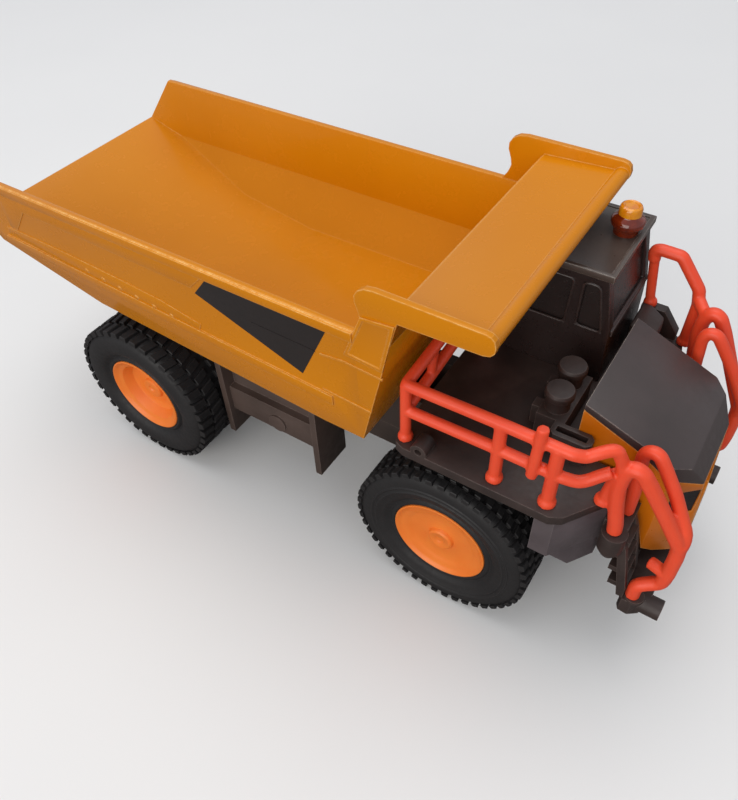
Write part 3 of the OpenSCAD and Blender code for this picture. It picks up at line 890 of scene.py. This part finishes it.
@dataclass
class Handrail:
    """The soft moulded rail of one side, drawn on the right."""

    side: Side
    rail_r: float = 1.58
    deck_z: float = 63.0
    edge_y: float = -35.2
    nose_y: float = 1.7
    flare: tuple[Flat, ...] = ((0.55, 0), (0.5, 1.2), (0.1, 2.0))
    cell: float = 0.32
    passes: int = 5
    smooth: float = 60

    def post(self, foot: Point, top: Point, radius: float) -> list[Piece]:
        """Make an upright with a foot that flares onto the deck.

        Args:
            foot: Where it stands, in millimetres.
            top: Where it ends.
            radius: Its radius.

        Returns:
            The upright and its foot.
        """
        x, y, z = foot
        section = [(0, 0), *[(radius + out, up) for out, up in self.flare], (0, self.flare[-1][1])]
        points = [at(x + out, y, z + up) for out, up in section]
        plug = Bench.lathe("foot", points, at(x, y, 0), Axis.Z.unit, 24, False)
        return [Bench.pipe("post", [foot, top], radius), plug]

    def stair_arches(self) -> list[Piece]:
        """Make the two bars that arch over the stair and end in one foot on the bumper.

        Returns:
            The bars.
        """
        shift = 0.0 if self.side is Side.RIGHT else -2 * self.nose_y
        bars: tuple[tuple[float, tuple[Point, ...]], ...] = (
            (1.95, ((96.7, -28.6, 55), (96.6, -28.5, 57), (95, -28.6, 65.4), (94.3, -28.7, 71.2),
                    (94.5, -28.7, 76.2), (95.8, -28.6, 79.2), (98.1, -28.5, 78.8), (100.6, -27.9, 74.8),
                    (106.8, -25.9, 63.3), (111.6, -24.6, 54.3))),
            (1.7, ((97.4, -21.3, 55), (97.3, -21.3, 64), (96.3, -21.3, 75.9), (97.3, -21.3, 78.4),
                   (99.5, -21.4, 78.5), (101.5, -21.6, 75.7), (105.9, -22.2, 69), (111.3, -22.9, 58.6),
                   (111.9, -23.6, 55.6), (111.6, -24.4, 52.5))),
            (1.95, ((111.2, -24.6, 56), (111.7, -24.6, 51), (111.7, -24.8, 42.5), (111.2, -24.7, 37.8),
                    (108.6, -25.4, 36.1), (106.3, -26.3, 34.6), (106.3, -26.2, 29.4))),
            (1.75, ((111.2, -25, 43), (106.9, -23.3, 42.3))),
        )
        return [Bench.pipe("arch", [(x, y + shift, z) for x, y, z in route], radius, 1.3)
                for radius, route in bars]

    def right_parts(self) -> list[Piece]:
        """Make the two rails round the deck's edge and their posts.

        Returns:
            The bars and the feet of the posts.
        """
        y, z = self.edge_y, self.deck_z
        upper = [(41.9, 6, 85.9), (41.9, y, 82.4), (67, y, 83), (84, y, 83.1), (86.5, -33.7, 82.3),
                 (88.6, -32.2, 83.4), (90.7, -30.5, 84), (91.9, -29.8, 83.7), (93.4, -28.9, 80),
                 (94.3, -28.7, 76)]
        lower = [(41.9, 6, 78.7), (42, y, 73.5), (67, y, 74.2), (82.5, y, 74.2), (86.1, -34, 73.4),
                 (87.8, -32.8, 73.6), (89.9, -31.2, 75), (92.1, -29.7, 76.3)]
        outer = [(76.2, -36.2, 71.4), (76.3, -36.2, 73), (76.8, -36.2, 87.4), (76.8, -36.1, 88.2)]
        return [
            *[Bench.pipe("rail", route, self.rail_r, 1.2) for route in (upper, lower)],
            *self.post((41.9, 6, z), (41.9, 6, 85.9), 1.45),
            *self.post((41.9, y, z), (41.9, y, 82.4), 1.5),
            *self.post((67.1, y, z), (67.1, y, 83), 1.68),
            *self.post((80.9, y, z), (80.9, y, 83), 1.75),
            *self.post((91.9, -27.9, z), (93.3, -28.5, 76), 1.6),
            Bench.pipe("bar", [(41.9, -22.8, 74.6), (41.9, -21.2, 84)], 1.25),
            Bench.pipe("bar", outer, 1.45),
        ]

    def left_parts(self) -> list[Piece]:
        """Make the single rail in front of the cab and its posts.

        Returns:
            The bars and the feet of the posts.
        """
        z = self.deck_z
        upper = [(76.9, -37.2, 86), (76.4, -37.2, 88.8), (77.6, -37.2, 89.6), (83.6, -37.2, 89.5),
                 (90.5, -36.4, 81.6), (91.5, -36.3, 77), (91.5, -36.3, 73)]
        return [
            *self.post((79.2, -37.3, z + 8.6), (79.2, -37.3, z + 10), 1.4),
            *self.post((91.4, -36.4, z), (91.4, -36.4, z + 2), 1.6),
            Bench.pipe("rail", [(79.2, -37.3, z + 9), (78.6, -37.2, 75), (76.9, -37.2, 86.8)], 1.4),
            Bench.pipe("rail", upper, 1.75, 1.6),
            Bench.pipe("rail", [(91.5, -36.3, 76), (91.4, -36.4, 64)], 1.75),
            Bench.pipe("rail", [(91, -36, 79.4), (94.6, -32.2, 77.5)], 1.7),
        ]

    def build(self) -> None:
        """Fuse all bars of the side into one soft moulding."""
        parts = self.right_parts() if self.side is Side.RIGHT else self.left_parts()
        rail = Bench.join([*parts, *self.stair_arches()], f"handrail_moulding_{self.side.word}")
        if self.side is Side.LEFT:
            Bench.mirror(rail)
        Bench.melt(rail, self.cell, self.passes)
        fit(rail, "chassis", Finishes.rails, [f"handrail_{self.side.word}"], self.smooth)


# ---------- dump body ----------


@dataclass
class DumpBody:
    """The tipping body: tub, canopy and underframe as one cast shape."""

    edge: float = 0.45
    canopy_edge: float = 0.6
    detail_edge: float = 0.12
    rounded_from: float = 20
    details_rounded_from: float = 30
    smooth: float = 40
    rail_z: float = 96.9
    half_width: float = 39.3
    lean: float = 2.0
    sunk: float = 0.3
    raised: float = 0.25
    decal_raised: float = 0.12
    decal_fold_raised: float = 0.2
    panel_raised: float = 0.3
    panel_rim: float = 0.9
    panel_depth: float = 0.25
    decal: tuple[Flat, ...] = ((-13.9, 95.5), (-20.9, 87.0), (12.8, 74.1), (23.1, 95.2))
    decal_fold: tuple[Flat, ...] = ((-2, 85.3), (18, 84.9), (18.1, 84.5), (-2, 84.9))
    front_panel: tuple[Flat, ...] = ((32.6, 102.6), (41.6, 103.6), (37.9, 87.5), (26.9, 88.3))
    folds: tuple[tuple[Flat, ...], ...] = (
        ((19.5, 85.0), (26.5, 85.9), (37.8, 85.2), (37.7, 84.5), (26.5, 85.2), (19.5, 84.3)),
        ((18.9, 72.0), (33.9, 71.0), (33.8, 70.4), (18.9, 71.3)),
        ((-98.2, 94.6), (-16, 94.6), (-22, 88.4), (-61.9, 89.2), (-88.5, 89.7), (-96.5, 80.7), (-99.6, 80.9)),
        ((-101.8, 80.4), (-73.6, 80), (-52, 79), (-36.5, 77.9), (-22.2, 75.2), (-23.6, 71.6), (-38.6, 72),
         (-60, 73.8), (-79.8, 75.4), (-101.8, 77.6)),
    )
    bumps: int = 6
    first_bump: Flat = (-67.2, 76.4)
    bump_step: Flat = (6.7, -0.62)
    bump_section: tuple[Flat, ...] = ((0, 0.3), (0.7, 0.3), (0.6, -0.5), (0, -0.6))

    def lean_in(self, piece: Piece) -> None:
        """Turn a piece that was made upright onto the leaning wall."""
        Bench.turn(piece, -self.lean, at(0, -self.half_width, self.rail_z), "X")

    def on_wall(self, outline: Sequence[Flat], raised: float) -> Piece:
        """Make a plate that lies on the leaning right wall.

        Args:
            outline: Its corners along the wall and up, in millimetres.
            raised: How far it stands out.

        Returns:
            The plate.
        """
        plate = Bench.plate("plate", outline, Axis.Y, -self.half_width - raised, -self.half_width + self.sunk)
        self.lean_in(plate)
        return plate

    def bump(self, x: float, z: float) -> Piece:
        """Make a small round bump on the leaning right wall.

        Args:
            x: Its place along the wall, in millimetres.
            z: Its height.

        Returns:
            The bump.
        """
        points = [at(x + radius, depth - self.half_width, z) for radius, depth in self.bump_section]
        bump = Bench.lathe("bump", points, at(x, 0, z), Axis.Y.unit, 16, False)
        self.lean_in(bump)
        return bump

    def shell(self) -> None:
        """Round the cast edges of the tub and the canopy."""
        castings = (("body_casting", "body_tub", self.edge, 2),
                    ("canopy_casting", "body_canopy", self.canopy_edge, 3))
        for name, node, width, segments in castings:
            casting = Bench.from_node(name, node)
            Bench.round_edges(casting, width, segments, self.rounded_from)
            fit(casting, "dump_body", Finishes.body, [node], self.smooth)

    def decals(self) -> None:
        """Lay the plain dark panel on each side wall, with the wall's fold showing through it."""
        plates = [self.on_wall(self.decal, self.decal_raised),
                  self.on_wall(self.decal_fold, self.decal_fold_raised)]
        fit_pair(Bench.join(plates, "panel"), "side_panel", "dump_body", Finishes.decal)

    def wall_details(self) -> None:
        """Add the framed panel at the front, the raised folds and the small bumps on the rib."""
        panel = self.on_wall(self.front_panel, self.panel_raised)
        Bench.recess(panel, (0, -1, 0), self.panel_rim, self.panel_depth)
        folds = [self.on_wall(outline, self.raised) for outline in self.folds]
        (x, z), (dx, dz) = self.first_bump, self.bump_step
        bumps = [self.bump(x + dx * step, z + dz * step) for step in range(self.bumps)]
        details = Bench.join([panel, *folds, *bumps], "details")
        Bench.round_edges(details, self.detail_edge, angle=self.details_rounded_from)
        fit_pair(details, "side_details", "dump_body", Finishes.body)

    def build(self) -> None:
        """Build the body's pieces."""
        self.shell()
        self.decals()
        self.wall_details()
        dress_node("body_underframe", Finishes.body)


# ---------- chassis ----------


@dataclass
class Chassis:
    """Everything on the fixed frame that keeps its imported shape, with rounded edges."""

    edge: float = 0.3
    soft: ClassVar[dict[str, float]] = {
        "bumper": 0.9, "deck_locker": 0.7, "air_cleaners": 0.45, "cab_shell": 0.5,
    }
    plain: tuple[tuple[str, Finish], ...] = (
        ("chassis_frame", Finishes.chassis), ("belly_pan", Finishes.chassis),
        ("front_axle_beam", Finishes.chassis), ("rear_axle_housing", Finishes.chassis),
        ("hinge_pin", Finishes.steel),
    )
    rounded: tuple[tuple[str, Finish], ...] = (
        ("side_tank_right", Finishes.tank), ("side_tank_left", Finishes.tank), ("deck", Finishes.deck),
        ("corner_bracket_right", Finishes.bracket), ("corner_bracket_left", Finishes.bracket),
        ("stair_right", Finishes.deck), ("stair_left", Finishes.deck), ("bumper", Finishes.deck),
        ("nose_body", Finishes.nose), ("hood_cover", Finishes.hood), ("grille", Finishes.grille),
        ("cab_shell", Finishes.cab), ("cab_roof", Finishes.roof), ("deck_locker", Finishes.deck),
        ("air_cleaners", Finishes.deck),
    )

    def build(self) -> None:
        """Build the rounded pieces and finish the rest."""
        for node, finish in self.plain:
            dress_node(node, finish)
        for node, finish in self.rounded:
            piece = Bench.from_node(f"{node}_moulding", node)
            Bench.round_edges(piece, self.soft.get(node, self.edge), 3 if node in self.soft else 2)
            fit(piece, "chassis", finish, [node])


@dataclass
class Cab:
    """Windows of the cab and the beacon on its roof."""

    right_y: float = 9.0
    left_y: float = 39.2
    beacon_foot: Point = (69.2, 29.4, 97.0)
    pane: float = 0.7
    pane_in: float = 0.75
    screen_in: float = 3.3
    back_in: float = 4.4
    bead: float = 0.36
    screen_bead: float = 0.4
    bend: float = 1.2
    side_windows: tuple[tuple[Flat, ...], ...] = (
        ((52, 79), (63.8, 79), (64.4, 93.4), (52, 93.4)),
        ((66.8, 79.6), (73.8, 79.6), (71.2, 93.4), (67, 93.4)),
    )
    windscreen: tuple[Flat, ...] = ((75.3, 80.2), (72.6, 93.7), (71.9, 93.7), (74.6, 80.2))
    back_window: tuple[Flat, ...] = ((47.7, 80.4), (48.4, 80.4), (48.4, 92.1), (47.7, 92.1))
    sill: tuple[Flat, ...] = ((75.4, 78.4), (76.45, 78.6), (76.4, 80), (75.9, 80.3), (75.4, 80.2))
    beacon_parts: tuple[tuple[str, Finish, tuple[Flat, ...]], ...] = (
        ("beacon_base", Finishes.amber,
         ((0, 0), (3.2, 0), (3.3, 0.8), (3.5, 1.6), (4.0, 2.2), (4.4, 3.0), (4.35, 3.8), (3.9, 4.5),
          (3.3, 4.9), (3.0, 5.4), (0, 5.4))),
        ("beacon_cap", Finishes.lens,
         ((0, 5.2), (2.95, 5.2), (2.95, 6.9), (2.7, 7.6), (2.2, 7.95), (1.8, 7.75), (1.6, 7.5), (0, 7.4))),
    )

    def windows(self) -> None:
        """Set dark panels into all window openings."""
        lows = (self.right_y + self.pane_in, self.left_y - self.pane_in - self.pane)
        panes = [Bench.plate("pane", outline, Axis.Y, low, low + self.pane)
                 for low in lows for outline in self.side_windows]
        for outline, inset in ((self.windscreen, self.screen_in), (self.back_window, self.back_in)):
            panes.append(Bench.plate("pane", outline, Axis.Y, self.right_y + inset, self.left_y - inset))
        fit(Bench.join(panes, "cab_windows"), "chassis", Finishes.glazing, ["cab_glazing"])

    def beads(self) -> None:
        """Run a rounded bead round each side window and the windscreen, and lay the sill under it."""
        beads = [Bench.pipe("bead", [(x, y, z) for x, z in outline], self.bead, self.bend, True)
                 for y in (self.right_y + 0.1, self.left_y - 0.1) for outline in self.side_windows]
        y0, y1 = self.right_y + 2.6, self.left_y - 2.4
        screen = [(75.6, y0, 80.3), (75.6, y1, 80.3), (73, y1, 93.6), (73, y0, 93.6)]
        beads.append(Bench.pipe("bead", screen, self.screen_bead, self.bend, True))
        sill = Bench.plate("cab_sill", self.sill, Axis.Y, self.right_y + 1.2, self.left_y - 1)
        fit(Bench.join(beads, "cab_beads"), "chassis", Finishes.cab)
        fit(sill, "chassis", Finishes.deck)

    def beacon(self) -> None:
        """Turn the beacon's flared base and its bright lens."""
        x, y, z = self.beacon_foot
        for name, finish, section in self.beacon_parts:
            points = [at(x + radius, y, z + height) for radius, height in section]
            fit(Bench.lathe(name, points, at(x, y, z), Axis.Z.unit, 48, False), "chassis", finish, ["beacon"])

    def build(self) -> None:
        """Build the cab's details."""
        self.windows()
        self.beads()
        self.beacon()


@dataclass
class Nose:
    """Dark inserts of the nose's two lamp openings."""

    corner: Flat = (103.5, -17.7)
    front: Flat = (114.0, -7.9)
    insert: tuple[Flat, ...] = ((2.45, 0.35), (10.15, 0.35), (10.15, 1.75), (2.45, 1.75))
    foot_z: float = 50.05
    top_z: float = 59.35
    middle_y: float = 1.7

    def build(self) -> None:
        """Set a dark panel into each opening."""
        start, end = Vector(self.corner), Vector(self.front)
        along = (end - start).normalized()
        inwards = Vector((-along.y, along.x))
        outline = [tuple(start + along * u + inwards * v) for u, v in self.insert]
        right = Bench.plate("lamp_insert_right", outline, Axis.Z, self.foot_z, self.top_z)
        for piece in (right, Bench.other_side(right, "lamp_insert_left")):
            Bench.open(piece)
            Bench.move((0, self.middle_y, 0))
            Bench.close()
            fit(piece, "chassis", Finishes.grille)


# ---------- studio ----------


@dataclass
class Studio:
    """Camera, floor and soft light."""

    eye: Point = (105.07, -141.15, 209.15)
    right: Point = (0.83821411, 0.5443982, -0.03205796)
    down: Point = (0.37966021, -0.62474512, -0.68231346)
    ahead: Point = (-0.39147827, 0.55975364, -0.73035651)
    lens: float = 33.29
    clip: Flat = (0.005, 20)
    floor_half: float = 1.6
    ground: tuple[Colour, Colour] = ((0.8, 0.8, 0.79), (0.77, 0.77, 0.765))
    bounce: Colour = (0.2, 0.19, 0.185)
    sky: Colour = (0.9, 0.93, 1)
    sky_strength: float = 0.55
    aim: Point = (0, 0, 50)
    lamps: tuple[tuple[str, Point, float, float, Colour], ...] = (
        ("window", (-150, 150, 1300), 1200, 8.6, (1, 0.98, 0.96)),
        ("fill", (60, -1050, 420), 1000, 8, (1, 0.96, 0.9)),
    )

    def camera(self) -> None:
        """Set the camera."""
        Bench.clear()
        bpy.ops.object.camera_add(location=at(*self.eye))
        camera = bpy.context.object
        camera.name = "camera"
        columns = Matrix((self.right, [-v for v in self.down], [-v for v in self.ahead])).transposed()
        camera.matrix_world = Matrix.Translation(at(*self.eye)) @ columns.to_4x4()
        camera.data.lens = self.lens
        camera.data.clip_start, camera.data.clip_end = self.clip
        bpy.context.scene.camera = camera

    def floor(self) -> None:
        """Lay the plain pale floor, which throws back less light than the camera sees."""
        Bench.clear()
        bpy.ops.mesh.primitive_plane_add(size=2 * self.floor_half, location=(0, 0, 0))
        floor = Bench.placed("floor")
        recipe = Recipe("pale_floor")
        seen = recipe.node("LightPath", {}).outputs["Is Camera Ray"]
        pale = recipe.blend(recipe.grain(90, 2), *self.ground)
        recipe.join(recipe.blend(seen, self.bounce, pale), "Base Color")
        recipe.set(Roughness=0.75)
        floor.data.materials.append(recipe.material)

    def lamp(self, name: str, spot: Point, size: float, power: float, tint: Colour) -> None:
        """Hang a soft lamp that faces the truck.

        Args:
            name: Name of the lamp.
            spot: Its place in millimetres.
            size: Side of its square face in millimetres.
            power: Its power in watts.
            tint: Colour of its light.
        """
        Bench.clear()
        bpy.ops.object.light_add(type="AREA", location=at(*spot))
        lamp = bpy.context.object
        lamp.name = name
        lamp.data.shape = "SQUARE"
        lamp.data.size = size * MM
        lamp.data.energy = power
        lamp.data.color = tint
        towards = at(*self.aim) - at(*spot)
        lamp.rotation_euler = towards.to_track_quat("-Z", "Y").to_euler()

    def world(self) -> None:
        """Fill the room with even pale light."""
        world = bpy.data.worlds.new("room")
        bpy.context.scene.world = world
        world.use_nodes = True
        back = world.node_tree.nodes["Background"]
        back.inputs["Color"].default_value = (*self.sky, 1)
        back.inputs["Strength"].default_value = self.sky_strength

    def build(self) -> None:
        """Set the room up."""
        self.camera()
        self.floor()
        for lamp in self.lamps:
            self.lamp(*lamp)
        self.world()
        bpy.context.scene.view_settings.view_transform = "Standard"


def build_truck() -> None:
    """Build the studio and all sub-assemblies in order."""
    logging.basicConfig(level=logging.INFO, format="%(name)s: %(message)s")
    front = Wheel(axle="front", axle_x=54.5, half_width=39.3, width=14, section=FRONT_TYRE, dish=FRONT_DISH,
                  lugs=46, lug_length=2.1, rows=FRONT_ROWS, tread_r=26.3)
    rear = Wheel(axle="rear", axle_x=-59.5, half_width=41.4, width=25.6, section=REAR_TYRE, dish=REAR_DISH,
                 lugs=40, lug_length=2.7, rows=REAR_ROWS, tread_r=26)
    for part in (Studio(), front, rear, *map(Handrail, Side), DumpBody(), Chassis(), Cab(), Nose()):
        part.build()


def main() -> None:
    """Build the truck."""
    build_truck()
    Bench.clear()


if __name__ == "__main__":
    main()
